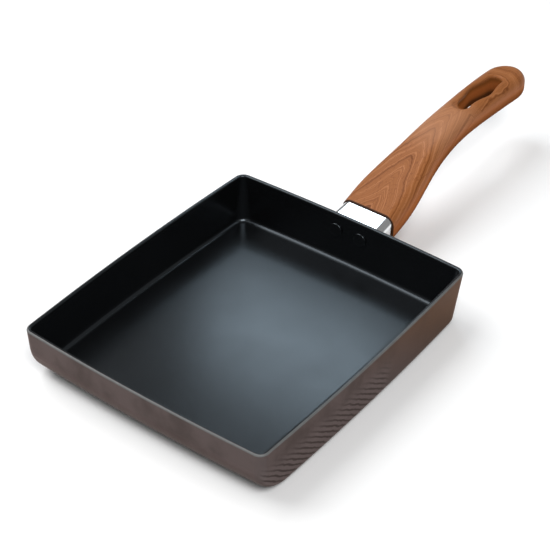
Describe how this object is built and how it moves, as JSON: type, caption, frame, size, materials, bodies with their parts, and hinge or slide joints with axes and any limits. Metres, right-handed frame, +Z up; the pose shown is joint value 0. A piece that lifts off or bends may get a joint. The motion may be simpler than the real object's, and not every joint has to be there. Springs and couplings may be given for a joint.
{
  "type": "tamagoyaki pan",
  "caption": "Oblong omelette pan with upright walls, a swept front wall, rivets, a steel ferrule and an arched moulded handle with a hanging slot.",
  "frame": {"origin": "centre of the flat part of the pan's underside, where it rests", "axes": "+Z up, square to the flat underside; +Y from the pan towards the handle's tail; +X to the right"},
  "size_m": [0.1544, 0.3557, 0.0499],
  "materials": {
    "coated_aluminium": "non-stick coating inside, mauve-brown metallic lacquer outside",
    "coated_rivet": "black non-stick coating",
    "bright_steel": "polished",
    "wood_look_moulding": "semi-gloss phenolic moulding with a printed wood grain",
    "bracket_steel": "plain sheet",
    "plated_steel": "zinc plated"
  },
  "bodies": {
    "root": {"pan_body": "coated_aluminium", "rivet_left": "coated_rivet", "rivet_right": "coated_rivet", "ferrule": "bright_steel", "handle_grip": "wood_look_moulding", "handle_bracket": "bracket_steel", "bracket_nut": "plated_steel", "handle_screw": "plated_steel", "spring_washer": "plated_steel", "flat_washer": "plated_steel"}
  },
  "joints": []
}
